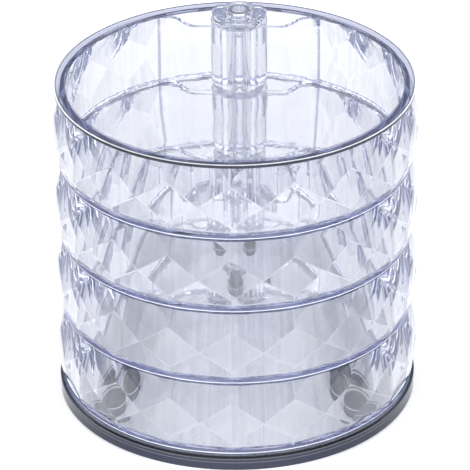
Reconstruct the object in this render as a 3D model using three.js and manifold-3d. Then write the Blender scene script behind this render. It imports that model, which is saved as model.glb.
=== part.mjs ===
// Rotating jewelry box: four clear faceted trays and a flat lid, stacked on a hollow base.
// All five swing sideways, each by itself, about one upright axle near the back wall.
// Millimetres, +Z up. The origin is on the table, under the middle of the closed stack.
// The axle stands at +Y and a facet of each tray faces the front, -Y.

import * as THREE from 'three';
import { mergeVertices } from 'three/addons/utils/BufferGeometryUtils.js';
import Module from 'manifold-3d';

const wasm = await Module();
wasm.setup();

// Clearances that pieces share
const runningGap = 0.3; // between the faces of pieces that turn past each other
const journalGap = 0.2; // round the axle and under its cap
const seatGap = 0.1; // between pieces that are pressed, screwed or stuck together
const overrun = 1; // how far a cutter runs past the face that it opens

// How finely round shapes are drawn
const wideSteps = 72;
const narrowSteps = 24;
const bossSteps = 48;
const curveSteps = 6;

// Base: an upturned shallow pan on three rubber feet
const base = {
  ledge: 1.1, // how far it stands out past the foot bands of the trays
  height: 4.4,
  topThickness: 1.5,
  skirtThickness: 1.8,
  edgeChamfer: 0.4,
};
const foot = {
  radius: 4.5,
  stand: 0.5, // how far the feet hold the skirt off the table
  inset: 10.9, // from the edge of the base to the middle of the two front feet
  frontAngle: 60, // degrees, from the front towards each side
  rearClearance: 0.6, // from the rear foot's ring to the block under the axle
  edgeChamfer: 0.3,
  wellWall: 1.1,
  wellDepth: 1.2,
};

// Axle, its screw and its cap
const axle = {
  inset: 2.6, // from the inside of a tray's wall to the middle of the axle
  radius: 3.4,
  boreRadius: 2.1,
  plugLength: 12, // solid length at the foot of the tube, for the screw
  edgeChamfer: 0.3,
};
const screw = {
  headRadius: 2.6,
  headHeight: 0.9,
  headRecess: 0.3, // how far the head stays above the bottom of the base
  shankRadius: 1.1,
  shankLength: 10,
  pilotGap: 0.15,
  slotWidth: 0.8,
  slotLength: 3.4,
  slotDepth: 0.5,
};
const cap = {
  headRadius: 4.5,
  headHeight: 0.8,
  dishDepth: 0.4,
  rimWidth: 0.7,
  stemLength: 7,
};

// Tray: a round floor, a faceted wall, and at the back a boss that turns on the axle.
// Its inner radius drives every wide radius of the box, and its height those of the facets.
const tray = {
  count: 4,
  height: 21.7,
  stackGap: 0.7, // from the rim of a tray to the tray above, which rides on its hub
  innerRadius: 46.6,
  rimWall: 1.8, // thickness of the wall at the rim
  footWall: 2.6, // from the inside of the wall to the outside of the foot band
  footHeight: 2,
  footChamfer: 0.4,
  floorThickness: 2,
  innerChamfer: 1.2,
  rimChamfer: 0.25,
};
const facet = {
  count: 18, // pitches round the wall, of which the back ones are left plain
  plainCount: 3,
  plainMargin: 0.6, // degrees, how far the plain stretch runs into the next facets
  plainLap: 0.3, // degrees, how far it overlaps them
  beltWall: 4.4, // thickness of the wall at the side corners of the diamonds, the widest place
  plainBeltWall: 3.7, // the same in the plain stretch at the back
  shoulderStep: 0.06, // how much the turned shoulder trims the top corners of the diamonds
  shoulderDrop: 0.75, // how much the radius shrinks from there to where the shoulder grows steeper
};

// Heights on the wall, as shares of a tray's height
const heightShares = {
  belt: 0.47235, // from the bottom to the side corners of the diamonds
  half: 0.285714, // from there to the top and the bottom corner of a diamond
  shoulder: 0.119816, // from the top corner to where the shoulder grows steeper
};

// Hub: a short round step under each tray and the lid, which sits in the top of the boss below
const hub = {
  radius: 7.7,
  height: 2.2,
};

// Partition: the wavy wall across the back of a tray that hides the boss
const partition = {
  thickness: 1.3,
  flatHalfWidth: 12,
  curveHalfWidth: 20,
  setback: 5.8, // from the flat middle to the sides, where it meets the wall
  webHalfWidth: 4.5, // of the solid part between it and the boss
};

// Lid: a flat disc with a raised rim and a raised pad round the axle
const lid = {
  overhang: 0.8, // how far it stands out past the foot bands of the trays
  plateThickness: 0.9,
  rimThickness: 1.1,
  rimWidth: 3,
  edgeChamfer: 0.25,
  padRadius: 6.7,
};

// Wide radii, all from the inside of a tray
const rimRadius = tray.innerRadius + tray.rimWall;
const footRadius = tray.innerRadius + tray.footWall;
const beltRadius = tray.innerRadius + facet.beltWall;
const plainBeltRadius = tray.innerRadius + facet.plainBeltWall;
const baseRadius = footRadius + base.ledge;
const lidRadius = footRadius + lid.overhang;
const axleOffset = tray.innerRadius - axle.inset;

// Heights on the wall, from the bottom of a tray
const beltHeight = tray.height * heightShares.belt;
const halfHeight = tray.height * heightShares.half;
const shoulderRise = tray.height * heightShares.shoulder;

// Heights of the stack, from the table up
const baseBottom = foot.stand;
const baseTop = baseBottom + base.height;
const basePlateBottom = baseTop - base.topThickness;
const trayPitch = tray.height + tray.stackGap;
const stackBottom = baseTop + runningGap;
const bossTop = trayPitch - hub.height - runningGap; // above the bottom of its tray
const topTrayBottom = stackBottom + (tray.count - 1) * trayPitch;
const lidBottom = topTrayBottom + tray.height + runningGap;
const lidHubBottom = topTrayBottom + bossTop + runningGap;
const lidTop = lidBottom + lid.rimThickness;
const baseSocket = stackBottom - hub.height - runningGap; // floor of the hub's seat in the base
const capBottom = lidTop + journalGap;
const axleBottom = baseSocket + seatGap;
const axleTop = capBottom - seatGap;
const turningHole = axle.radius + journalGap;
const hubSeat = hub.radius + runningGap; // radius of the round recess that takes a hub

// Materials
const clearPlastic = new THREE.MeshStandardMaterial({
  color: 0xdfe3f2,
  roughness: 0.04,
  metalness: 0,
  transparent: true,
  opacity: 0.35,
});
const smokedPlastic = new THREE.MeshStandardMaterial({
  color: 0x8f97aa,
  roughness: 0.06,
  metalness: 0,
  transparent: true,
  opacity: 0.5,
});
const greyRubber = new THREE.MeshStandardMaterial({ color: 0x85868a, roughness: 0.85, metalness: 0 });
const steel = new THREE.MeshStandardMaterial({ color: 0xb9bcc0, roughness: 0.3, metalness: 1 });

// Turns a closed geometry into a solid for joining and cutting
function toSolid(geometry) {
  const bare = geometry.index ? geometry.toNonIndexed() : geometry.clone();
  bare.deleteAttribute('normal');
  bare.deleteAttribute('uv');
  const merged = mergeVertices(bare, 1e-5);
  return new wasm.Manifold(new wasm.Mesh({
    numProp: 3,
    vertProperties: new Float32Array(merged.attributes.position.array),
    triVerts: new Uint32Array(merged.index.array),
  }));
}

// Turns a solid back into a flat-shaded mesh with a name
function toMesh(solid, name, material) {
  const made = solid.getMesh();
  const geometry = new THREE.BufferGeometry();
  geometry.setAttribute('position', new THREE.BufferAttribute(new Float32Array(made.vertProperties), 3));
  geometry.setIndex(new THREE.BufferAttribute(new Uint32Array(made.triVerts), 1));
  const mesh = new THREE.Mesh(geometry, material);
  mesh.name = name;
  return mesh;
}

// A profile of [radius, height] points, turned about the Z axis
function turned(profile, steps) {
  const points = profile.map(([radius, height]) => new THREE.Vector2(radius, height));
  return toSolid(new THREE.LatheGeometry(points, steps).rotateX(Math.PI / 2));
}

// A round bar from one height to another, about the Z axis
function bar(radius, bottom, top, steps = narrowSteps) {
  return turned([[0, bottom], [radius, bottom], [radius, top], [0, top]], steps);
}

// A round bar with the same small chamfer at both ends
function chamferedBar(radius, bottom, top, chamfer, steps = narrowSteps) {
  return turned([
    [0, bottom],
    [radius - chamfer, bottom],
    [radius, bottom + chamfer],
    [radius, top - chamfer],
    [radius - chamfer, top],
    [0, top],
  ], steps);
}

// A rectangular block between two corners
function block(low, high) {
  const size = high.map((value, i) => value - low[i]);
  const middle = high.map((value, i) => (value + low[i]) / 2);
  return toSolid(new THREE.BoxGeometry(...size).translate(...middle));
}

// A flat shape, drawn as seen from above, raised from one height to another
function extruded(shape, bottom, top) {
  const settings = { depth: top - bottom, bevelEnabled: false, curveSegments: curveSteps };
  return toSolid(new THREE.ExtrudeGeometry(shape, settings).translate(0, 0, bottom));
}

// Moves a shape made about the Z axis to the axle
function atAxle(solid) {
  return solid.translate([0, axleOffset, 0]);
}

// The angle from one diamond to the next, and how far their upright faces are from the middle
const pitchAngle = (2 * Math.PI) / facet.count;
const diamondFace = beltRadius * Math.cos(pitchAngle / 2);

// The faceted body of a tray: three rows of flat facets. Each row of corners is given by its radius,
// its height and whether it stands between the diamonds or in line with them.
function facetedBody() {
  const slope = (beltRadius - diamondFace * Math.cos(pitchAngle / 2)) / halfHeight;
  const cornerRadius = (rise) => (beltRadius - slope * rise) / Math.cos(pitchAngle / 2);
  const rows = [
    { radius: cornerRadius(beltHeight), height: 0, between: false },
    { radius: diamondFace, height: beltHeight - halfHeight, between: false },
    { radius: beltRadius, height: beltHeight, between: true },
    { radius: diamondFace, height: beltHeight + halfHeight, between: false },
    { radius: cornerRadius(tray.height - beltHeight), height: tray.height, between: false },
  ];
  const corner = ({ radius, height, between }, index) => {
    const angle = pitchAngle * (index + (between ? 0.5 : 0)) - Math.PI / 2;
    return [radius * Math.cos(angle), radius * Math.sin(angle), height];
  };
  const [bottom, low, side, high, top] = rows;
  const positions = [];
  const face = (...corners) => {
    for (let i = 2; i < corners.length; i += 1) {
      positions.push(...corners[0], ...corners[i - 1], ...corners[i]);
    }
  };
  for (let k = 0; k < facet.count; k += 1) {
    face(corner(low, k), corner(side, k), corner(high, k), corner(side, k - 1));
    face(corner(side, k), corner(low, k), corner(bottom, k), corner(bottom, k + 1), corner(low, k + 1));
    face(corner(side, k), corner(high, k + 1), corner(top, k + 1), corner(top, k), corner(high, k));
    face([0, 0, bottom.height], corner(bottom, k + 1), corner(bottom, k));
    face([0, 0, top.height], corner(top, k), corner(top, k + 1));
  }
  const geometry = new THREE.BufferGeometry();
  geometry.setAttribute('position', new THREE.Float32BufferAttribute(positions, 3));
  return toSolid(geometry);
}

// The upper edge of a turned wall, from the shoulder over the rim to the axis
function rimProfile() {
  return [
    [rimRadius, tray.height - tray.rimChamfer],
    [rimRadius - tray.rimChamfer, tray.height],
    [0, tray.height],
  ];
}

// The outside of a tray: facets under a turned shoulder, a plain stretch at the back, a round foot
function trayOutside() {
  const shoulderHeight = beltHeight + halfHeight;
  const shoulderRadius = diamondFace - facet.shoulderStep;
  const wide = beltRadius + overrun;
  const shoulder = turned([
    [0, -overrun],
    [wide, -overrun],
    [wide, beltHeight],
    [shoulderRadius, shoulderHeight],
    [shoulderRadius - facet.shoulderDrop, shoulderHeight + shoulderRise],
    ...rimProfile(),
  ], wideSteps);
  const plain = turned([
    [0, 0],
    [footRadius, 0],
    [footRadius, tray.footHeight],
    [plainBeltRadius, beltHeight],
    ...rimProfile(),
  ], wideSteps);
  const footDisc = chamferedBar(footRadius, 0, tray.footHeight, tray.footChamfer, wideSteps);
  const aboveFoot = block([-wide, -wide, tray.footHeight / 2], [wide, wide, tray.height + overrun]);
  const core = bar(tray.innerRadius, -overrun, tray.height + overrun, wideSteps);
  const cleared = plainSector(wide * 2, facet.plainMargin).subtract(core);
  const filled = plain.intersect(plainSector(wide * 2, facet.plainMargin + facet.plainLap));
  const faceted = facetedBody().intersect(shoulder).subtract(cleared);
  return faceted.add(filled).intersect(aboveFoot).add(footDisc);
}

// The wedge at the back in which the wall has no facets, widened by a margin on each side
function plainSector(reach, margin) {
  const half = (facet.plainCount * pitchAngle) / 2 + THREE.MathUtils.degToRad(margin);
  const side = reach * Math.tan(half);
  const shape = new THREE.Shape();
  shape.moveTo(0, 0);
  shape.lineTo(side, reach);
  shape.lineTo(-side, reach);
  return extruded(shape, -overrun, tray.height + overrun);
}

// What lies behind a face of the partition, seen from above. The face is moved back by the setting.
function behindPartition(moved, bottom, top) {
  const front = axleOffset - hubSeat - partition.thickness + moved;
  const side = front + partition.setback;
  const flat = partition.flatHalfWidth - moved / 2;
  const curve = partition.curveHalfWidth - moved / 2;
  const middle = (flat + curve) / 2;
  const wide = tray.innerRadius + overrun;
  const shape = new THREE.Shape();
  shape.moveTo(-wide, side);
  shape.lineTo(-curve, side);
  shape.bezierCurveTo(-middle, side, -middle, front, -flat, front);
  shape.lineTo(flat, front);
  shape.bezierCurveTo(middle, front, middle, side, curve, side);
  shape.lineTo(wide, side);
  shape.lineTo(wide, wide);
  shape.lineTo(-wide, wide);
  return extruded(shape, bottom, top);
}

function traySolid() {
  const floor = tray.floorThickness;
  const top = tray.height + overrun;
  const inside = turned([
    [0, floor],
    [tray.innerRadius - tray.innerChamfer, floor],
    [tray.innerRadius, floor + tray.innerChamfer],
    [tray.innerRadius, tray.height - tray.rimChamfer],
    [tray.innerRadius + tray.rimChamfer, tray.height],
    [tray.innerRadius + tray.rimChamfer, top],
    [0, top],
  ], wideSteps);
  const webs = block(
    [-partition.webHalfWidth, 0, -overrun],
    [partition.webHalfWidth, tray.innerRadius + overrun, top],
  );
  const boss = atAxle(bar(hubSeat, -overrun, top, bossSteps)).add(webs);
  const pockets = behindPartition(partition.thickness, floor, top).subtract(boss);
  const cavity = inside.subtract(behindPartition(0, 0, top).subtract(pockets));
  const hubStep = atAxle(bar(hub.radius, -hub.height, floor))
    .intersect(bar(footRadius - tray.footChamfer, -hub.height, floor, wideSteps));
  const hubRecess = atAxle(bar(hubSeat, bossTop, top, bossSteps));
  const bore = atAxle(bar(turningHole, -hub.height - overrun, top));
  return trayOutside().subtract(cavity).subtract(hubRecess).add(hubStep).subtract(bore);
}

// Places of the feet: two towards the front and one at the back, before the block under the axle
const blockRadius = hubSeat + foot.wellWall;
const wellInside = foot.radius + seatGap;
const wellOutside = wellInside + foot.wellWall;

function footPlaces() {
  const angle = THREE.MathUtils.degToRad(foot.frontAngle);
  const reach = baseRadius - foot.inset;
  const side = reach * Math.sin(angle);
  const front = -reach * Math.cos(angle);
  const rear = axleOffset - blockRadius - foot.rearClearance - wellOutside;
  return { front_left: [-side, front], front_right: [side, front], rear: [0, rear] };
}

function baseSolid() {
  const { edgeChamfer } = base;
  const skirtInside = baseRadius - base.skirtThickness;
  const shell = turned([
    [0, basePlateBottom],
    [skirtInside, basePlateBottom],
    [skirtInside, baseBottom],
    [baseRadius - edgeChamfer, baseBottom],
    [baseRadius, baseBottom + edgeChamfer],
    [baseRadius, baseTop - edgeChamfer],
    [baseRadius - edgeChamfer, baseTop],
    [0, baseTop],
  ], wideSteps);
  const wells = Object.values(footPlaces()).map(([x, y]) => (
    bar(wellOutside, basePlateBottom - foot.wellDepth, basePlateBottom)
      .subtract(bar(wellInside, baseBottom, basePlateBottom))
      .translate([x, y, 0])
  ));
  const axleBlock = atAxle(bar(blockRadius, baseBottom, basePlateBottom))
    .intersect(bar(skirtInside, baseBottom, basePlateBottom, wideSteps));
  const cuts = [
    bar(hubSeat, baseSocket, baseTop + overrun, bossSteps),
    bar(screw.headRadius + seatGap, baseBottom - overrun, headSeat),
    bar(screw.shankRadius + screw.pilotGap, baseBottom, baseTop),
  ];
  const joined = wells.reduce((solid, well) => solid.add(well), shell.add(axleBlock));
  return cuts.reduce((solid, cut) => solid.subtract(atAxle(cut)), joined);
}

const footTop = basePlateBottom - seatGap;

function footSolid([x, y]) {
  return chamferedBar(foot.radius, 0, footTop, foot.edgeChamfer).translate([x, y, 0]);
}

const headBottom = baseBottom + screw.headRecess;
const headTop = headBottom + screw.headHeight;
const headSeat = headTop + seatGap;

function axleSolid() {
  const pilot = bar(
    screw.shankRadius + screw.pilotGap,
    axleBottom - overrun,
    headTop + screw.shankLength + seatGap,
  );
  const bore = bar(axle.boreRadius, axleBottom + axle.plugLength, axleTop + overrun);
  const tube = chamferedBar(axle.radius, axleBottom, axleTop, axle.edgeChamfer);
  return atAxle(tube.subtract(bore).subtract(pilot));
}

function screwSolid() {
  const head = bar(screw.headRadius, headBottom, headTop);
  const shank = bar(screw.shankRadius, headBottom, headTop + screw.shankLength);
  const halfLength = screw.slotLength / 2;
  const halfWidth = screw.slotWidth / 2;
  const slotBottom = headBottom - overrun;
  const slotTop = headBottom + screw.slotDepth;
  const slots = [[halfLength, halfWidth], [halfWidth, halfLength]].map(([x, y]) => (
    block([-x, -y, slotBottom], [x, y, slotTop])
  ));
  return atAxle(slots.reduce((solid, slot) => solid.subtract(slot), head.add(shank)));
}

function capSolid() {
  const top = capBottom + cap.headHeight;
  const dishRadius = cap.headRadius - cap.rimWidth;
  const stemRadius = axle.boreRadius - seatGap;
  const edge = cap.rimWidth / 2;
  const dishShares = [[1, 0], [3 / 4, 1 / 2], [1 / 2, 4 / 5], [0, 1]]; // from its rim to its middle
  return atAxle(turned([
    [0, axleTop - cap.stemLength],
    [stemRadius, axleTop - cap.stemLength],
    [stemRadius, capBottom],
    [cap.headRadius, capBottom],
    [cap.headRadius, top - edge],
    [cap.headRadius - edge, top],
    ...dishShares.map(([radius, depth]) => [dishRadius * radius, top - cap.dishDepth * depth]),
  ], narrowSteps));
}

function lidSolid() {
  const { edgeChamfer } = lid;
  const plateTop = lidBottom + lid.plateThickness;
  const rimInner = lidRadius - lid.rimWidth;
  const disc = turned([
    [0, lidBottom],
    [lidRadius - edgeChamfer, lidBottom],
    [lidRadius, lidBottom + edgeChamfer],
    [lidRadius, lidTop - edgeChamfer],
    [lidRadius - edgeChamfer, lidTop],
    [rimInner, lidTop],
    [rimInner - (lidTop - plateTop), plateTop],
    [0, plateTop],
  ], wideSteps);
  const pad = atAxle(bar(lid.padRadius, lidBottom, lidTop))
    .intersect(bar(lidRadius - edgeChamfer, lidBottom, lidTop, wideSteps));
  const hubStep = atAxle(bar(hub.radius, lidHubBottom, lidTop - lid.plateThickness))
    .intersect(bar(footRadius - tray.footChamfer, lidHubBottom, lidTop, wideSteps));
  const hole = atAxle(bar(turningHole, lidHubBottom - overrun, lidTop + overrun));
  return disc.add(pad).add(hubStep).subtract(hole);
}

const box = new THREE.Group();
box.add(toMesh(baseSolid(), 'base_shell', smokedPlastic));
Object.entries(footPlaces()).forEach(([place, spot]) => {
  box.add(toMesh(footSolid(spot), `foot_${place}`, greyRubber));
});
box.add(
  toMesh(screwSolid(), 'axle_screw', steel),
  toMesh(axleSolid(), 'axle', clearPlastic),
  toMesh(capSolid(), 'axle_cap', clearPlastic),
  toMesh(lidSolid(), 'lid', clearPlastic),
);

// The trays are mouldings of one shape, numbered from the top down
const moulding = traySolid();
for (let number = 1; number <= tray.count; number += 1) {
  const mesh = toMesh(moulding, `tray_${number}`, clearPlastic);
  mesh.position.z = stackBottom + (tray.count - number) * trayPitch;
  box.add(mesh);
}

export default box;
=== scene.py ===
import math

import bpy
from mathutils import Euler, Matrix, Vector


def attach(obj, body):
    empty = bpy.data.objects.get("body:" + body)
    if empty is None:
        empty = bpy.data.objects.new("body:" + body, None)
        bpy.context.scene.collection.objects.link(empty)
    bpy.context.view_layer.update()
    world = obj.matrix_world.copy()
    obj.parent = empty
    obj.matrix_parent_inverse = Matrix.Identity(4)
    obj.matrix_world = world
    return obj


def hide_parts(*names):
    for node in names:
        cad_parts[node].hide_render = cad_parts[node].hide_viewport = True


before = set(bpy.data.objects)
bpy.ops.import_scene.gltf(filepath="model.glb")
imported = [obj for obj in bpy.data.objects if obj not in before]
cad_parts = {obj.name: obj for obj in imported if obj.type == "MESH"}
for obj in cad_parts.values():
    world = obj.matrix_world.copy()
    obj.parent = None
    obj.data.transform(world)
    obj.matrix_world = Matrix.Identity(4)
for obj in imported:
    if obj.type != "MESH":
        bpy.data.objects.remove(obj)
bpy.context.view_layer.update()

# Base shell
# The base is taken as an upturned shallow pan of translucent smoke-grey plastic, in one moulding.
# It holds three wells for the feet and, near its back edge, the block that the axle stands in.
MM = 0.001
WIDE_STEPS = 216
BOSS_STEPS = 96
SMALL_STEPS = 64
AXLE = (0.0, 44.0)
BASE_BOTTOM = 0.5
BASE_TOP = 4.9
BASE_RADIUS = 50.3
PLATE_BOTTOM = 3.4
SKIRT_INSIDE = 48.5
WIDE_EASING = 0.4
FOOT_SPOTS = {
    "foot_front_left": (-34.121, -19.7),
    "foot_front_right": (34.121, -19.7),
    "foot_rear": (0.0, 28.6),
}
WELL_INSIDE = 4.6
WELL_OUTSIDE = 5.7
WELL_DEPTH = 1.2
HUB_SEAT = 8.0
SOCKET_FLOOR = 2.7
SOCKET_WALL = 1.1
HEAD_SEAT = 1.8
HEAD_HOLE_RADIUS = 2.7
PILOT_RADIUS = 1.25
LAP = 0.2  # how far a piece that is joined on reaches into the other
BEYOND = 1  # how far a cutting shape runs past what it cuts


def select_only(piece):
    """Selects one piece and makes it the active one."""
    bpy.ops.object.select_all(action="DESELECT")
    piece.select_set(True)
    bpy.context.view_layer.objects.active = piece


def turned(name, rings, centre=(0.0, 0.0), steps=WIDE_STEPS, pierced=False):
    """A round piece made ring by ring along its profile of (radius, height), in millimetres.
    A pierced one has a closed profile and an open middle."""
    bpy.ops.object.select_all(action="DESELECT")
    middle = (centre[0] * MM, centre[1] * MM)
    radius, height = rings[0]
    bpy.ops.mesh.primitive_circle_add(
        vertices=steps,
        radius=radius * MM,
        fill_type="NOTHING" if pierced else "NGON",
        location=(*middle, height * MM),
    )
    piece = bpy.context.object
    piece.name = name
    bpy.ops.object.transform_apply(location=True, rotation=True, scale=True)
    bpy.ops.object.mode_set(mode="EDIT")
    bpy.ops.mesh.select_all(action="SELECT")
    extrude = bpy.ops.mesh.extrude_edges_move if pierced else bpy.ops.mesh.extrude_region_move
    for next_radius, next_height in (rings[1:] + rings[:1] if pierced else rings[1:]):
        extrude(TRANSFORM_OT_translate={"value": (0, 0, (next_height - height) * MM)})
        grown = next_radius / radius
        bpy.ops.transform.resize(
            value=(grown, grown, 1), center_override=(*middle, next_height * MM)
        )
        radius, height = next_radius, next_height
    bpy.ops.mesh.select_all(action="SELECT")
    bpy.ops.mesh.remove_doubles(threshold=0.000001)
    bpy.ops.mesh.normals_make_consistent(inside=False)
    bpy.ops.object.mode_set(mode="OBJECT")
    return piece


def eased(radius, height, size, upward):
    """Three points that ease an outer corner of a profile, given from the bottom to the top.
    The corner is at the height, and the piece lies above it or below it."""
    nick = round(size * (1 - math.cos(math.pi / 4)), 2)
    side = 1 if upward else -1
    points = [
        (radius - size, height),
        (radius - nick, height + side * nick),
        (radius, height + side * size),
    ]
    return points[::side]


def bar(radius, low, high, centre=AXLE, steps=BOSS_STEPS):
    """A plain round bar that is only used to join to or cut from a piece."""
    return turned("bar", [(radius, low), (radius, high)], centre, steps)


def combine(piece, other, operation):
    """Joins the other shape to the piece, cuts it away, or keeps what they share."""
    select_only(piece)
    bpy.ops.object.modifier_add(type="BOOLEAN")
    step = piece.modifiers[-1]
    step.operation = operation
    step.solver = "MANIFOLD"
    step.object = other
    bpy.ops.object.modifier_apply(modifier=step.name)
    bpy.data.objects.remove(other)
    return piece


def smoothed(piece, degrees):
    """Shades the piece smooth but keeps every edge sharper than the angle."""
    select_only(piece)
    bpy.ops.object.shade_smooth_by_angle(angle=math.radians(degrees))
    return piece


def dressed(piece, material, body, node):
    """Gives a finished piece its material, and sets it in the frame in place of its CAD node."""
    piece.data.materials.clear()
    piece.data.materials.append(material)
    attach(piece, body)
    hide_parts(node)


class Signal:
    """An output of a shader node. Sums on it add Math nodes, and node() adds any other node."""

    def __init__(self, socket):
        self.socket = socket

    def node(self, kind, settings=None, values=None, output=0):
        tree = self.socket.id_data
        made = tree.nodes.new("ShaderNode" + kind)
        settings = dict(settings or {})
        for place, (position, colour) in enumerate(settings.pop("stops", [])):
            ramp = made.color_ramp.elements
            stop = ramp[place] if place < len(ramp) else ramp.new(position)
            stop.position = position
            stop.color = (*colour, 1)
        for setting, value in settings.items():
            setattr(made, setting, value)
        for name, value in (values or {}).items():
            if isinstance(value, Signal):
                tree.links.new(value.socket, made.inputs[name])
            else:
                made.inputs[name].default_value = value
        return Signal(made.outputs[output])

    def maths(self, operation, first, second):
        return self.node("Math", {"operation": operation}, {0: first, 1: second})

    def __add__(self, other):
        return self.maths("ADD", self, other)

    def __radd__(self, other):
        return self.maths("ADD", other, self)

    def __sub__(self, other):
        return self.maths("SUBTRACT", self, other)

    def __rsub__(self, other):
        return self.maths("SUBTRACT", other, self)

    def __mul__(self, other):
        return self.maths("MULTIPLY", self, other)

    def __rmul__(self, other):
        return self.maths("MULTIPLY", other, self)


def new_material(name):
    """A material with its shader, and the place on the piece that its patterns start from."""
    material = bpy.data.materials.new(name)
    material.use_nodes = True
    shader = material.node_tree.nodes["Principled BSDF"]
    place = material.node_tree.nodes.new("ShaderNodeTexCoord").outputs["Object"]
    return material, shader, Signal(place)


def feed(shader, name, signal):
    """Links a signal to one of the shader's sockets."""
    signal.socket.id_data.links.new(signal.socket, shader.inputs[name])


def band(inner, low, high, tint, glow=0):
    """A part of a moulding outside an inner radius and between two heights. The plastic is deep
    there and looks dark, and a dark tint paints that in as shade; a pale tint with a glow is a
    painted highlight."""
    return inner, low, high, tint, glow


def moulded_plastic(
    name, tint, absorbed, density, bump,
    bands=(), bottom=0, pitch=1000, net=None,
):
    """Clear moulded plastic: faint flow lines, a polish that varies, and a tint that deepens.
    Its bands paint shade and highlights into the colour and a glow of painted light; their
    heights are counted from the bottom, and again at every pitch of a stack. A net, where one
    is given, paints more shade into the colour and more glow."""
    material, shader, place = new_material(name)
    shader.inputs["Transmission Weight"].default_value = 1.0
    shader.inputs["IOR"].default_value = 1.57
    lengthwise = place.node("Mapping", values={"Vector": place, "Scale": (1, 1, 0.12)})
    flow = place.node("TexNoise", values={"Vector": lengthwise, "Scale": 260, "Detail": 2})
    swell = place.node("TexNoise", values={"Vector": place, "Scale": 55, "Detail": 1})
    rubbed = place.node("TexNoise", values={"Vector": place, "Scale": 900, "Detail": 3})
    deep, pale = tint
    colour = place.node(
        "ValToRGB", {"stops": [(0.3, deep), (0.7, pale)]}, {"Fac": swell}
    )
    across = place.node("VectorMath", {"operation": "MULTIPLY"}, {0: place, 1: (1, 1, 0)})
    reach = place.node("VectorMath", {"operation": "LENGTH"}, {0: across}, output="Value")
    upright = place.node("SeparateXYZ", values={"Vector": place}, output="Z")
    height = (upright - bottom * MM).maths("MODULO", upright - bottom * MM, pitch * MM)
    painted_glow = swell * 0
    # Each band paints its tint into the colour as shade or highlight, and its glow as light.
    for inner, low, high, painted_tone, glow in bands:
        outside = reach.maths("GREATER_THAN", reach, inner * MM)
        above = reach.maths("GREATER_THAN", height, low * MM)
        below = reach.maths("LESS_THAN", height, high * MM)
        here = outside * above * below
        colour = place.node("MixRGB", {}, {
            "Fac": here, "Color1": colour, "Color2": (*painted_tone, 1),
        })
        painted_glow = painted_glow * (1 - here) + here * (glow * (0.5 + flow))
    if net:
        colour, painted_glow = net(place, height, colour, painted_glow)
    feed(shader, "Base Color", colour)
    # Painted light: the glow of the bands and of the net is emitted from the surface.
    feed(shader, "Emission Color", place.node(
        "ValToRGB", {"stops": [(0.0, (0, 0, 0)), (1.0, (0.95, 0.96, 1.0))]}, {"Fac": painted_glow},
    ))
    shader.inputs["Emission Strength"].default_value = 1.0
    feed(shader, "Roughness", rubbed * 0.02 + flow * 0.01)
    feed(shader, "Normal", place.node(
        "Bump", values={"Height": flow + swell * 2, "Strength": 1.0, "Distance": bump},
    ))
    tree = material.node_tree
    absorber = tree.nodes.new("ShaderNodeVolumeAbsorption")
    absorber.inputs["Color"].default_value = (*absorbed, 1)
    absorber.inputs["Density"].default_value = density
    tree.links.new(absorber.outputs[0], tree.nodes["Material Output"].inputs["Volume"])
    return material


SKIRT_HEIGHTS = {"low": BASE_BOTTOM - LAP, "high": PLATE_BOTTOM + 0.1}
LEDGE_HEIGHTS = {"low": BASE_TOP - 0.9, "high": BASE_TOP + LAP}
RING_HEIGHTS = {"low": BASE_BOTTOM - LAP, "high": BASE_TOP + LAP}
PAINTED_LINE_TINT = (0.012, 0.015, 0.03)
smoked_plastic = moulded_plastic(
    "smoked_plastic",
    tint=((0.90, 0.92, 0.96), (0.94, 0.95, 0.98)),
    absorbed=(0.40, 0.44, 0.56),
    density=100,
    bump=0.00001,
    # Painted shade and light: the skirt glows faintly, the ledge and the outer ring are painted
    # near black as shade, and two thin lines on the ring are less dark and glow faintly.
    bands=[
        band(inner=SKIRT_INSIDE - 0.3, **SKIRT_HEIGHTS, tint=(0.9, 0.92, 0.96), glow=0.28),
        band(inner=SKIRT_INSIDE + 0.1, **LEDGE_HEIGHTS, tint=(0.01, 0.014, 0.03)),
        band(inner=BASE_RADIUS - 0.7, **RING_HEIGHTS, tint=(0.0003, 0.0006, 0.0035)),
        band(inner=BASE_RADIUS - 0.3, low=3.9, high=4.2, tint=PAINTED_LINE_TINT, glow=0.08),
        band(inner=BASE_RADIUS - 0.3, low=2.9, high=3.15, tint=PAINTED_LINE_TINT, glow=0.05),
    ],
)
base_shell = turned("base_pan", [
    (SKIRT_INSIDE, PLATE_BOTTOM),
    (SKIRT_INSIDE, BASE_BOTTOM),
    *eased(BASE_RADIUS, BASE_BOTTOM, WIDE_EASING, upward=True),
    *eased(BASE_RADIUS, BASE_TOP, WIDE_EASING, upward=False),
])
for spot in FOOT_SPOTS.values():
    well = turned("well", [
        (WELL_INSIDE, PLATE_BOTTOM - WELL_DEPTH),
        (WELL_OUTSIDE, PLATE_BOTTOM - WELL_DEPTH),
        (WELL_OUTSIDE, PLATE_BOTTOM + LAP),
        (WELL_INSIDE, PLATE_BOTTOM + LAP),
    ], spot, SMALL_STEPS, pierced=True)
    combine(base_shell, well, "UNION")
axle_block = bar(HUB_SEAT + SOCKET_WALL, BASE_BOTTOM, PLATE_BOTTOM + LAP)
inside_skirt = bar(SKIRT_INSIDE + 2 * LAP, -BEYOND, BASE_TOP + BEYOND, (0, 0), WIDE_STEPS)
combine(axle_block, inside_skirt, "INTERSECT")
combine(base_shell, axle_block, "UNION")
combine(base_shell, bar(HUB_SEAT, SOCKET_FLOOR, BASE_TOP + BEYOND), "DIFFERENCE")
combine(base_shell, bar(HEAD_HOLE_RADIUS, -BEYOND, HEAD_SEAT), "DIFFERENCE")
combine(base_shell, bar(PILOT_RADIUS, 0, BASE_TOP), "DIFFERENCE")
smoothed(base_shell, 20)
dressed(base_shell, smoked_plastic, "root", "base_shell")

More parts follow.
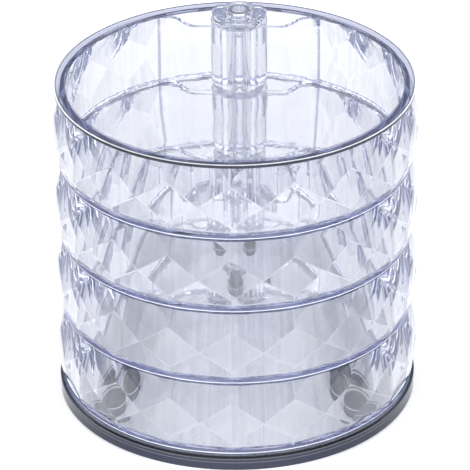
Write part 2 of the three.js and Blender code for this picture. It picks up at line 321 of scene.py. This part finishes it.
# Feet
# Three round feet of matt grey rubber, pressed into their wells under the base.
# Each has a shallow dish in its sole, so that it grips with its rim.
grey_rubber, rubber, place = new_material("grey_rubber")
speck = place.node("TexNoise", values={"Vector": place, "Scale": 1400, "Detail": 4})
dust = place.node("TexNoise", values={"Vector": place, "Scale": 160, "Detail": 3})
feed(rubber, "Base Color", place.node(
    "ValToRGB", {"stops": [(0.3, (0.03, 0.03, 0.029)), (0.75, (0.06, 0.06, 0.058))]},
    {"Fac": dust * 0.7 + speck * 0.3},
))
feed(rubber, "Roughness", speck * 0.25 + 0.6)
feed(rubber, "Normal", place.node(
    "Bump", values={"Height": speck, "Strength": 0.6, "Distance": 0.00008}
))
for name, spot in FOOT_SPOTS.items():
    rubber_foot = turned(name + "_rubber", [
        (2.6, 0.35),
        (3.0, 0.25),
        (3.3, 0.05),
        (3.45, 0.0),
        (4.2, 0.0),
        (4.4, 0.08),
        (4.5, 0.3),
        (4.5, 3.0),
        (4.4, 3.2),
        (4.2, 3.3),
    ], spot, SMALL_STEPS)
    smoothed(rubber_foot, 35)
    dressed(rubber_foot, grey_rubber, "root", name)

# Axle
# An upright clear tube near the back wall. It stands in the base block, is solid at the foot
# where the screw bites, and every tray and the lid turn on it.
CLEAR = {
    "tint": ((0.985, 0.987, 0.995), (0.993, 0.994, 0.998)),
    "absorbed": (0.51, 0.55, 0.71),
    "density": 19,
    "bump": 0.00001,
}
clear_plastic = moulded_plastic("clear_plastic", **CLEAR)
AXLE_BOTTOM = 2.8
AXLE_TOP = 95.6
AXLE_RADIUS = 3.4
AXLE_CHAMFER = 0.3
BORE_RADIUS = 2.1
PLUG_LENGTH = 12
PILOT_TOP = 11.8
axle_tube = turned("axle_tube", [
    (AXLE_RADIUS - AXLE_CHAMFER, AXLE_BOTTOM),
    (AXLE_RADIUS, AXLE_BOTTOM + AXLE_CHAMFER),
    (AXLE_RADIUS, AXLE_TOP - AXLE_CHAMFER),
    (AXLE_RADIUS - AXLE_CHAMFER, AXLE_TOP),
], AXLE, BOSS_STEPS)
combine(axle_tube, bar(BORE_RADIUS, AXLE_BOTTOM + PLUG_LENGTH, AXLE_TOP + BEYOND), "DIFFERENCE")
combine(axle_tube, bar(PILOT_RADIUS, AXLE_BOTTOM - BEYOND, PILOT_TOP), "DIFFERENCE")
smoothed(axle_tube, 30)
dressed(axle_tube, clear_plastic, "root", "axle")

# Screw under the axle
# A small plated steel screw with a cross slot, driven up from below through the base
# into the foot of the axle. It can't be seen in use.
plated_steel, steel, place = new_material("plated_steel")
turning = place.node("Mapping", values={"Vector": place, "Location": (0, -AXLE[1] * MM, 0)})
brushed = place.node("TexNoise", values={"Vector": turning, "Scale": 3000, "Detail": 3})
feed(steel, "Base Color", place.node(
    "ValToRGB", {"stops": [(0.3, (0.48, 0.49, 0.51)), (0.7, (0.62, 0.63, 0.65))]},
    {"Fac": brushed},
))
feed(steel, "Roughness", brushed * 0.2 + 0.2)
feed(steel, "Normal", place.node(
    "Bump", values={"Height": brushed, "Strength": 0.4, "Distance": 0.00002}
))
steel.inputs["Metallic"].default_value = 1.0
HEAD_BOTTOM = 0.8
SLOT_LENGTH = 3.4
SLOT_WIDTH = 0.8
SLOT_DEPTH = 0.5
screw = turned("screw", [
    (2.3, HEAD_BOTTOM),
    (2.6, 1.1),
    (2.6, 1.7),
    (1.1, 1.7),
    (1.1, 11.2),
    (0.5, 11.7),
], AXLE, SMALL_STEPS)
for turn in (0, 90):
    bpy.ops.object.select_all(action="DESELECT")
    bpy.ops.mesh.primitive_cube_add(
        size=1, location=(0, AXLE[1] * MM, HEAD_BOTTOM * MM), rotation=(0, 0, math.radians(turn))
    )
    slot_cutter = bpy.context.object
    slot_cutter.scale = (SLOT_LENGTH * MM, SLOT_WIDTH * MM, 2 * SLOT_DEPTH * MM)
    bpy.ops.object.transform_apply(location=True, rotation=True, scale=True)
    combine(screw, slot_cutter, "DIFFERENCE")
smoothed(screw, 30)
dressed(screw, plated_steel, "root", "axle_screw")

# Trays
# Four mouldings of one shape in clear plastic: a round floor on a foot band, a wall with a net of
# flat diamonds on the outside, and at the back a boss on the axle behind a wavy partition.
TRAY_HEIGHT = 21.7
FOOT_RADIUS = 49.2
FOOT_HEIGHT = 1.4
FLOOR = 1.5
FILLET = 0.6
FILLET_STEPS = 6
INNER_RADIUS = 46.6
RIM_RADIUS = 48.4
BELT_RADIUS = 51.0
BELT_HEIGHT = 10.25
HALF_HEIGHT = 6.2
FACET_COUNT = 18
PITCH = math.radians(360 / FACET_COUNT)
DIAMOND_FACE = BELT_RADIUS * math.cos(PITCH / 2)
SLOPE = (BELT_RADIUS - DIAMOND_FACE * math.cos(PITCH / 2)) / HALF_HEIGHT
EDGE_ROUNDING = 0.2
RIM_EASING = 0.25
SHOULDER_STEP = 0.06  # how much the turned shoulder trims the top corners of the diamonds
SHOULDER_DROP = 0.75
SHOULDER_RISE = 2.6
BACK_HALF = math.radians(30.6)
BACK_RADIUS = 50.3
TRIM_BOTTOM = 0.9
PARTITION_FRONT = 34.7
PARTITION_SETBACK = 5.8
PARTITION_THICKNESS = 1.3
FLAT_HALF = 12
CURVE_HALF = 20
CURVE_STEPS = 16
WEB_WIDTH = 9
HUB_RADIUS = 7.7
HUB_HEIGHT = 2.2
BOSS_TOP = 19.9
HUB_ROOT = 1.0  # how far up the hub reaches into the floor
TURNING_HOLE = 3.6
STACK_BOTTOM = 5.2
STACK_PITCH = 22.4


def shave(piece, point, normal):
    """Cuts off all of the piece beyond a plane, and closes the cut with one flat face."""
    select_only(piece)
    bpy.ops.object.mode_set(mode="EDIT")
    bpy.ops.mesh.select_all(action="SELECT")
    bpy.ops.mesh.bisect(
        plane_co=[value * MM for value in point],
        plane_no=normal,
        use_fill=True,
        clear_outer=True,
        threshold=0.0000001,
    )
    bpy.ops.object.mode_set(mode="OBJECT")


def behind(moved, low, high):
    """All that lies behind a face of the partition, moved back by the given distance."""
    front = PARTITION_FRONT + moved
    side = front + PARTITION_SETBACK
    flat = FLAT_HALF - moved / 2
    curve = CURVE_HALF - moved / 2
    middle = (flat + curve) / 2
    wide = INNER_RADIUS + BEYOND
    corners = [
        ((-wide, side), (-wide, side), (-wide, side)),
        ((-curve, side), (-curve, side), (-middle, side)),
        ((-flat, front), (-middle, front), (-flat, front)),
        ((flat, front), (flat, front), (middle, front)),
        ((curve, side), (middle, side), (curve, side)),
        ((wide, side), (wide, side), (wide, side)),
        ((wide, wide), (wide, wide), (wide, wide)),
        ((-wide, wide), (-wide, wide), (-wide, wide)),
    ]
    bpy.ops.object.select_all(action="DESELECT")
    bpy.ops.curve.primitive_bezier_curve_add()
    outline = bpy.context.object
    drawn = outline.data
    drawn.dimensions = "2D"
    drawn.fill_mode = "BOTH"
    drawn.resolution_u = CURVE_STEPS
    drawn.extrude = (high - low) / 2 * MM
    spline = drawn.splines[0]
    spline.use_cyclic_u = True
    spline.bezier_points.add(len(corners) - len(spline.bezier_points))
    for knot, (at, before, after) in zip(spline.bezier_points, corners):
        knot.handle_left_type = "FREE"
        knot.handle_right_type = "FREE"
        knot.co = (at[0] * MM, at[1] * MM, 0)
        knot.handle_left = (before[0] * MM, before[1] * MM, 0)
        knot.handle_right = (after[0] * MM, after[1] * MM, 0)
    outline.location = (0, 0, (low + high) / 2 * MM)
    bpy.ops.object.convert(target="MESH")
    bpy.ops.object.transform_apply(location=True, rotation=True, scale=True)
    bpy.ops.object.mode_set(mode="EDIT")
    bpy.ops.mesh.select_all(action="SELECT")
    bpy.ops.mesh.remove_doubles(threshold=0.000001)
    bpy.ops.mesh.normals_make_consistent(inside=False)
    bpy.ops.object.mode_set(mode="OBJECT")
    return outline


BLANK_RADIUS = 70
BLANK_BOTTOM = 1.0
BLANK_SIDES = 8
moulding = turned("tray", [
    (BLANK_RADIUS, BLANK_BOTTOM),
    (BLANK_RADIUS, TRAY_HEIGHT + 2 * BEYOND),
], steps=BLANK_SIDES)
for pitch in range(FACET_COUNT):
    angle = pitch * PITCH - math.pi / 2
    outward = Vector((math.cos(angle), math.sin(angle), 0))
    shave(moulding, outward * DIAMOND_FACE, outward)
for pitch in range(FACET_COUNT):
    angle = (pitch + 0.5) * PITCH - math.pi / 2
    outward = Vector((math.cos(angle), math.sin(angle), 0))
    corner = outward * BELT_RADIUS + Vector((0, 0, BELT_HEIGHT))
    shave(moulding, corner, outward + Vector((0, 0, SLOPE)))
    shave(moulding, corner, outward - Vector((0, 0, SLOPE)))
select_only(moulding)
bpy.ops.object.mode_set(mode="EDIT")
bpy.ops.mesh.select_all(action="SELECT")
bpy.ops.mesh.remove_doubles(threshold=0.000005)
bpy.ops.mesh.bevel(offset=EDGE_ROUNDING * MM, segments=2, affect="EDGES")
bpy.ops.object.mode_set(mode="OBJECT")
combine(moulding, turned("shoulder", [
    (BELT_RADIUS + BEYOND, 0.0),
    (BELT_RADIUS + BEYOND, BELT_HEIGHT),
    (DIAMOND_FACE - SHOULDER_STEP, BELT_HEIGHT + HALF_HEIGHT),
    (DIAMOND_FACE - SHOULDER_STEP - SHOULDER_DROP, BELT_HEIGHT + HALF_HEIGHT + SHOULDER_RISE),
    *eased(RIM_RADIUS, TRAY_HEIGHT, RIM_EASING, upward=False),
]), "INTERSECT")
back_trim = turned("back_trim", [
    (FOOT_RADIUS, TRIM_BOTTOM),
    (FOOT_RADIUS, FOOT_HEIGHT),
    (BACK_RADIUS, BELT_HEIGHT),
    (RIM_RADIUS, TRAY_HEIGHT - RIM_EASING),
    (RIM_RADIUS - 2 * RIM_EASING, TRAY_HEIGHT + RIM_EASING),
    (RIM_RADIUS - 2 * RIM_EASING, TRAY_HEIGHT + BEYOND),
    (BELT_RADIUS + 2 * BEYOND, TRAY_HEIGHT + BEYOND),
    (BELT_RADIUS + 2 * BEYOND, TRIM_BOTTOM),
], pierced=True)
for side in (-1, 1):
    edge = math.pi / 2 + side * (BACK_HALF + math.pi / 2)
    shave(back_trim, (0, 0, 0), (math.cos(edge), math.sin(edge), 0))
combine(moulding, back_trim, "DIFFERENCE")
foot_band = turned("foot_band", [
    *eased(FOOT_RADIUS, 0.0, WIDE_EASING, upward=True),
    (FOOT_RADIUS, FOOT_HEIGHT),
])
combine(moulding, foot_band, "UNION")
hollow = turned("hollow", [
    (INNER_RADIUS - FILLET, FLOOR),
    *[
        (
            INNER_RADIUS + FILLET * (math.sin(turn * math.pi / 2 / FILLET_STEPS) - 1),
            FLOOR + FILLET * (1 - math.cos(turn * math.pi / 2 / FILLET_STEPS)),
        )
        for turn in range(1, FILLET_STEPS + 1)
    ],
    (INNER_RADIUS, TRAY_HEIGHT - RIM_EASING),
    (INNER_RADIUS + RIM_EASING, TRAY_HEIGHT),
    (INNER_RADIUS + RIM_EASING, TRAY_HEIGHT + BEYOND),
])
pockets = behind(PARTITION_THICKNESS, FLOOR, TRAY_HEIGHT + BEYOND)
combine(pockets, bar(HUB_SEAT, -BEYOND, TRAY_HEIGHT + 2 * BEYOND), "DIFFERENCE")
bpy.ops.object.select_all(action="DESELECT")
bpy.ops.mesh.primitive_cube_add(size=1, location=(0, AXLE[1] / 2 * MM, TRAY_HEIGHT / 2 * MM))
web = bpy.context.object
web.scale = (WEB_WIDTH * MM, 1.2 * AXLE[1] * MM, 1.2 * TRAY_HEIGHT * MM)
bpy.ops.object.transform_apply(location=True, rotation=True, scale=True)
combine(pockets, web, "DIFFERENCE")
filling = behind(0, 0, TRAY_HEIGHT + 2 * BEYOND)
combine(filling, pockets, "DIFFERENCE")
combine(hollow, filling, "DIFFERENCE")
combine(moulding, hollow, "DIFFERENCE")
combine(moulding, bar(HUB_SEAT, BOSS_TOP, TRAY_HEIGHT + BEYOND), "DIFFERENCE")
hub_step = bar(HUB_RADIUS, -HUB_HEIGHT, HUB_ROOT)
below_hub = -HUB_HEIGHT - BEYOND
within_foot = bar(FOOT_RADIUS - WIDE_EASING, below_hub, HUB_ROOT + BEYOND, (0, 0), WIDE_STEPS)
combine(hub_step, within_foot, "INTERSECT")
combine(moulding, hub_step, "UNION")
combine(moulding, bar(TURNING_HOLE, below_hub, TRAY_HEIGHT + BEYOND), "DIFFERENCE")
smoothed(moulding, 9)

NET_LINE = 0.026  # half the width of a line of the net, as a share of half a diamond
NET_SEAM = 0.02  # the same for the upright seams above and below the diamonds
NET_GLOW = 0.13
SLANTED_ROW = 60  # added to the number of a slanted facet, one between two diamonds
UPPER_ROW = 30  # added once more where that facet is above the belt
STREAKS = 9  # across one pitch
TONED_FROM = INNER_RADIUS + 0.6
TONED_TO = 42.5  # how far back the wall has facets
CORNER_ASIDE = 22.7
CORNER_HALF_WIDTH = 0.4
CORNER_FRONT = 39.5
CORNER_SHADE_TINT = (0.5, 0.52, 0.62)


def diamond_net(place, height, colour, painted_glow):
    """Painted shade and highlights on the wall: each facet gets a shade of its own, darker on the
    upper slanted facets and partly at random, with upright darker streaks in it. The edges
    between the facets glow as painted highlights, and the corners at the partition's ends get
    painted shade."""
    parts = [place.node("SeparateXYZ", values={"Vector": place}, output=axis) for axis in "XYZ"]
    turn = place.maths("ARCTAN2", parts[1], parts[0]) * (1 / PITCH) + FACET_COUNT / 4
    aside = turn.maths("PINGPONG", turn, 0.5) * 2
    over = (height - BELT_HEIGHT * MM) * (1 / (HALF_HEIGHT * MM))
    rise = over.maths("ABSOLUTE", over, 0)
    out = aside + rise - 1
    slanted = out.maths("GREATER_THAN", out, 0)
    upper = slanted * over.maths("GREATER_THAN", over, 0)
    which = turn.maths("FLOOR", turn + (1 - slanted) * 0.5, 0)
    which = which + upper * UPPER_ROW + slanted * SLANTED_ROW
    chance = which.node("TexWhiteNoise", {"noise_dimensions": "1D"}, {"W": which})
    streak = turn.node("TexNoise", {"noise_dimensions": "1D"}, {
        "W": turn * STREAKS + which, "Scale": 1.0, "Detail": 3,
    })
    # Painted shade: upper slanted facets darker, slanted ones slightly darker, a random share for
    # each facet, and upright darker streaks.
    facet_shade = 1.2 - upper * 0.2 - slanted * 0.04 - chance * 0.15 - streak * 0.46
    line = facet_shade.maths("LESS_THAN", out.maths("ABSOLUTE", out, 0), NET_LINE)
    seam = facet_shade.maths("LESS_THAN", aside, NET_SEAM) * rise.maths("GREATER_THAN", rise, 1)
    reach = place.node("VectorMath", {"operation": "LENGTH"}, {
        0: place.node("VectorMath", {"operation": "MULTIPLY"}, {0: place, 1: (1, 1, 0)}),
    }, output="Value")
    wall = reach.maths("GREATER_THAN", reach, TONED_FROM * MM)
    wall = wall * reach.maths("LESS_THAN", parts[1], TONED_TO * MM)
    wall = wall * height.maths("GREATER_THAN", height, FOOT_HEIGHT * MM)
    off_corner = parts[0].maths("ABSOLUTE", parts[0], 0) - CORNER_ASIDE * MM
    off_corner = off_corner.maths("ABSOLUTE", off_corner, 0)
    corner = off_corner.maths("LESS_THAN", off_corner, CORNER_HALF_WIDTH * MM)
    corner = corner * reach.maths("GREATER_THAN", parts[1], CORNER_FRONT * MM)
    # Painted shade: upright dark lines where the partition's ends meet the wall.
    colour = place.node("MixRGB", {}, {
        "Fac": corner, "Color1": colour, "Color2": (*CORNER_SHADE_TINT, 1),
    })
    shaded_colour = place.node("MixRGB", {"blend_type": "MULTIPLY"}, {
        "Fac": wall, "Color1": colour, "Color2": place.node("CombineColor", {}, {
            "Red": facet_shade, "Green": facet_shade * 0.97 + 0.03, "Blue": facet_shade * 0.8 + 0.2,
        }),
    })
    # Painted highlight: the lines along the facets' edges and the seams above and below the
    # diamonds glow.
    edge = line.maths("MAXIMUM", line, seam * 0.5)
    return shaded_colour, painted_glow + wall * edge * NET_GLOW


LIGHT_LINE_TOP = 0.42
PAINTED_HIGHLIGHT_TINT = (0.9, 0.9, 0.95)
TRAY_RIM_HEIGHTS = {"low": TRAY_HEIGHT - 0.3, "high": TRAY_HEIGHT + 0.1}
FOOT_HEIGHTS = {"low": LIGHT_LINE_TOP, "high": FOOT_HEIGHT}
# Painted shade and highlight: the top of the rim and the foot band are tinted dark as shade, and
# a pale line along the bottom of the foot band glows as a painted highlight.
tray_plastic = moulded_plastic("tray_plastic", **CLEAR, bands=[
    band(inner=INNER_RADIUS + 0.1, **TRAY_RIM_HEIGHTS, tint=(0.1, 0.115, 0.21)),
    band(inner=FOOT_RADIUS - 0.25, **FOOT_HEIGHTS, tint=(0.2, 0.215, 0.42)),
    band(inner=FOOT_RADIUS - 0.5, low=-0.1, high=LIGHT_LINE_TOP, tint=PAINTED_HIGHLIGHT_TINT, glow=1.2),
], bottom=STACK_BOTTOM, pitch=STACK_PITCH, net=diamond_net)
for place_in_stack, name in enumerate(["tray_4", "tray_3", "tray_2", "tray_1"]):
    clear_tray = moulding.copy()
    clear_tray.data = moulding.data.copy()
    clear_tray.name = name + "_moulding"
    bpy.context.collection.objects.link(clear_tray)
    clear_tray.location = (0, 0, (STACK_BOTTOM + place_in_stack * STACK_PITCH) * MM)
    select_only(clear_tray)
    bpy.ops.object.transform_apply(location=True, rotation=True, scale=True)
    dressed(clear_tray, tray_plastic, name, name)
bpy.data.objects.remove(moulding)

# Lid
# A flat clear disc with a raised rim. A low pad round the axle thickens it, and a short hub
# under the pad sits in the top tray's boss.
LID_BOTTOM = 94.4
LID_TOP = 95.5
LID_RADIUS = 50.0
LID_RIM_WIDTH = 3.0
LID_STEP = 0.2
PAD_RADIUS = 6.7
PAD_ROOT = LID_BOTTOM + 0.3  # inside the plate, where the pad starts and the hub ends
LID_HUB_BOTTOM = 92.6
THROUGH_LID = (90, 99)  # heights safely below and above the lid, for cutting shapes
clear_lid = turned("clear_lid", [
    *eased(LID_RADIUS, LID_BOTTOM, RIM_EASING, upward=True),
    *eased(LID_RADIUS, LID_TOP, RIM_EASING, upward=False),
    (LID_RADIUS - LID_RIM_WIDTH, LID_TOP),
    (LID_RADIUS - LID_RIM_WIDTH - LID_STEP / 2, LID_TOP - LID_STEP / 4),
    (LID_RADIUS - LID_RIM_WIDTH - LID_STEP, LID_TOP - LID_STEP),
])
pad = turned("pad", [
    (PAD_RADIUS, PAD_ROOT),
    (PAD_RADIUS, LID_TOP - 0.1),
    (PAD_RADIUS - 0.1, LID_TOP),
], AXLE, BOSS_STEPS)
within_lid = bar(LID_RADIUS - RIM_EASING, *THROUGH_LID, (0, 0), WIDE_STEPS)
combine(pad, within_lid, "INTERSECT")
combine(clear_lid, pad, "UNION")
lid_hub = bar(HUB_RADIUS, LID_HUB_BOTTOM, PAD_ROOT)
within_rim = bar(FOOT_RADIUS - WIDE_EASING, *THROUGH_LID, (0, 0), WIDE_STEPS)
combine(lid_hub, within_rim, "INTERSECT")
combine(clear_lid, lid_hub, "UNION")
combine(clear_lid, bar(TURNING_HOLE, *THROUGH_LID), "DIFFERENCE")
smoothed(clear_lid, 12)
LID_RIM_HEIGHTS = {"low": LID_TOP - 0.25, "high": LID_TOP + 0.1}
LID_FACE_HEIGHTS = {"low": LID_TOP - 0.1, "high": LID_TOP + 0.1}
LID_LINE_HEIGHTS = {"low": LID_TOP - 0.15, "high": LID_TOP + 0.1}
LID_SIDE_HEIGHTS = {"low": LID_BOTTOM - 0.1, "high": LID_TOP - 0.15}
# Painted shade and highlight: the rim's top is tinted darker, the edge of the top face darker
# still, the side near black, and a pale line at the top edge glows as a painted highlight.
lid_plastic = moulded_plastic("lid_plastic", **CLEAR, bands=[
    band(inner=LID_RADIUS - 3.3, **LID_RIM_HEIGHTS, tint=(0.34, 0.36, 0.52)),
    band(inner=LID_RADIUS - 0.8, **LID_FACE_HEIGHTS, tint=(0.08, 0.09, 0.12)),
    band(inner=LID_RADIUS - 0.35, **LID_LINE_HEIGHTS, tint=PAINTED_HIGHLIGHT_TINT, glow=0.9),
    band(inner=LID_RADIUS - 0.2, **LID_SIDE_HEIGHTS, tint=(0.01, 0.0125, 0.024)),
])
dressed(clear_lid, lid_plastic, "lid", "lid")

# Cap
# A small dished button of clear plastic. Its stem is pushed into the axle's bore, and its head
# holds the lid down.
CAP_BOTTOM = 95.7
CAP_TOP = 96.5
CAP_RADIUS = 4.5
STEM_RADIUS = 2.0
STEM_BOTTOM = 88.6
cap_button = turned("cap_button", [
    (STEM_RADIUS - 0.3, STEM_BOTTOM),
    (STEM_RADIUS, STEM_BOTTOM + 0.3),
    (STEM_RADIUS, CAP_BOTTOM),
    (CAP_RADIUS - 0.1, CAP_BOTTOM),
    (CAP_RADIUS, CAP_BOTTOM + 0.1),
    (CAP_RADIUS, CAP_TOP - 0.2),
    (4.46, CAP_TOP - 0.06),
    (4.38, CAP_TOP),
    (4.25, CAP_TOP - 0.03),
    (3.9, CAP_TOP - 0.17),
    (3.3, CAP_TOP - 0.3),
    (2.3, CAP_TOP - 0.4),
    (1.0, CAP_TOP - 0.44),
], AXLE, BOSS_STEPS)
smoothed(cap_button, 30)
dressed(cap_button, clear_plastic, "root", "axle_cap")

# Table top, light and camera
# A plain pale sweep that glows a little round the box, under a light tent: bright overhead,
# dim low down and darkest low down on both sides, which draws the edges of the clear plastic.
bpy.ops.object.select_all(action="DESELECT")
TABLE_SIZE = 8
bpy.ops.mesh.primitive_plane_add(size=TABLE_SIZE, location=(0, 0, 0))
table_top = bpy.context.object
table_top.name = "table_top"
pale_paper, paper, place = new_material("pale_paper")
fibre = place.node("TexNoise", values={"Vector": place, "Scale": 90, "Detail": 4})
feed(paper, "Base Color", place.node(
    "ValToRGB", {"stops": [(0.3, (0.93, 0.93, 0.935)), (0.7, (0.95, 0.95, 0.955))]},
    {"Fac": fibre},
))
feed(paper, "Roughness", fibre * 0.1 + 0.85)
paper.inputs["Specular IOR Level"].default_value = 0.1
# Painted pool of light: the sweep glows brightest round the box and dimmer further out.
stretched = place.node("Mapping", values={"Vector": place, "Scale": (3.0, 0.7, 1)})
spread = place.node("VectorMath", {"operation": "LENGTH"}, {0: stretched}, output="Value")
feed(paper, "Emission Color", place.node("ValToRGB", {"stops": [
    (0.15, (0.98, 0.98, 1.0)),
    (0.3, (0.62, 0.62, 0.63)),
    (1.0, (0.22, 0.22, 0.22)),
]}, {"Fac": spread * 3}))
paper.inputs["Emission Strength"].default_value = 0.8
table_top.data.materials.append(pale_paper)

tent = bpy.data.worlds.new("light_tent")
bpy.context.scene.world = tent
tent.use_nodes = True
backdrop = tent.node_tree.nodes["Background"]
direction = Signal(tent.node_tree.nodes.new("ShaderNodeTexCoord").outputs["Generated"])
tilt = direction.node("SeparateXYZ", values={"Vector": direction}, output="Z")
sideways = direction.node("SeparateXYZ", values={"Vector": direction}, output="X")
sideways = sideways.maths("ABSOLUTE", sideways, 0)
ahead = direction.node("ValToRGB", {"stops": [
    (0.0, (1.0, 1.0, 1.0)),
    (0.49, (1.0, 1.0, 1.0)),
    (0.5, (0.42, 0.46, 0.56)),
    (0.76, (0.52, 0.55, 0.64)),
    (0.84, (1.2, 1.2, 1.2)),
    (1.0, (1.1, 1.1, 1.1)),
]}, {"Fac": tilt * 0.5 + 0.5})
beside = direction.node("ValToRGB", {"stops": [
    (0.0, (1.0, 1.0, 1.0)),
    (0.49, (1.0, 1.0, 1.0)),
    (0.5, (0.12, 0.135, 0.24)),
    (0.66, (0.22, 0.24, 0.39)),
    (0.84, (1.0, 1.0, 1.0)),
]}, {"Fac": tilt * 0.5 + 0.5})
flank = direction.node("MapRange", {"interpolation_type": "SMOOTHSTEP"}, {
    "Value": sideways, "From Min": 0.45, "From Max": 0.85,
})
brightness = direction.node("MixRGB", {}, {"Fac": flank, "Color1": ahead, "Color2": beside})
tent.node_tree.links.new(brightness.socket, backdrop.inputs["Color"])
backdrop.inputs["Strength"].default_value = 1.0

LIGHT_HEIGHT = 1.6
LIGHT_WIDTH = 1.6
LIGHT_POWER = 3
bpy.ops.object.light_add(type="AREA", location=(0, 0, LIGHT_HEIGHT))
overhead = bpy.context.object
overhead.name = "overhead_light"
overhead.data.shape = "SQUARE"
overhead.data.size = LIGHT_WIDTH
overhead.data.energy = LIGHT_POWER

CAMERA_TILT = math.radians(28.77)
CAMERA_TURN = math.radians(1.8)
CAMERA_ROLL = math.radians(-0.515)
CAMERA_DISTANCE = 1.27916
CAMERA_AIM = Vector((0, 0, 0.04698))
CAMERA_LENS = 349.5
CAMERA_SHIFT = -0.00237
bpy.ops.object.camera_add()
camera = bpy.context.object
camera.name = "camera"
camera.location = CAMERA_AIM + CAMERA_DISTANCE * Vector((
    math.sin(CAMERA_TURN) * math.cos(CAMERA_TILT),
    -math.cos(CAMERA_TURN) * math.cos(CAMERA_TILT),
    math.sin(CAMERA_TILT),
))
aimed = Euler((math.pi / 2 - CAMERA_TILT, 0, CAMERA_TURN)).to_matrix()
camera.rotation_euler = (aimed @ Matrix.Rotation(CAMERA_ROLL, 3, "Z")).to_euler()
camera.data.sensor_width = 36
camera.data.lens = CAMERA_LENS
camera.data.shift_x = CAMERA_SHIFT
camera.data.clip_start = 0.01
bpy.context.scene.camera = camera
bpy.context.scene.view_settings.view_transform = "Standard"

# Light passes many clear walls on its way through the stack, and with fewer bounces the edges
# go black.
BOUNCES_IN_ALL = 64
BOUNCES_OF_A_KIND = 48
bpy.context.scene.cycles.max_bounces = BOUNCES_IN_ALL
bpy.context.scene.cycles.transmission_bounces = BOUNCES_OF_A_KIND
bpy.context.scene.cycles.glossy_bounces = BOUNCES_OF_A_KIND
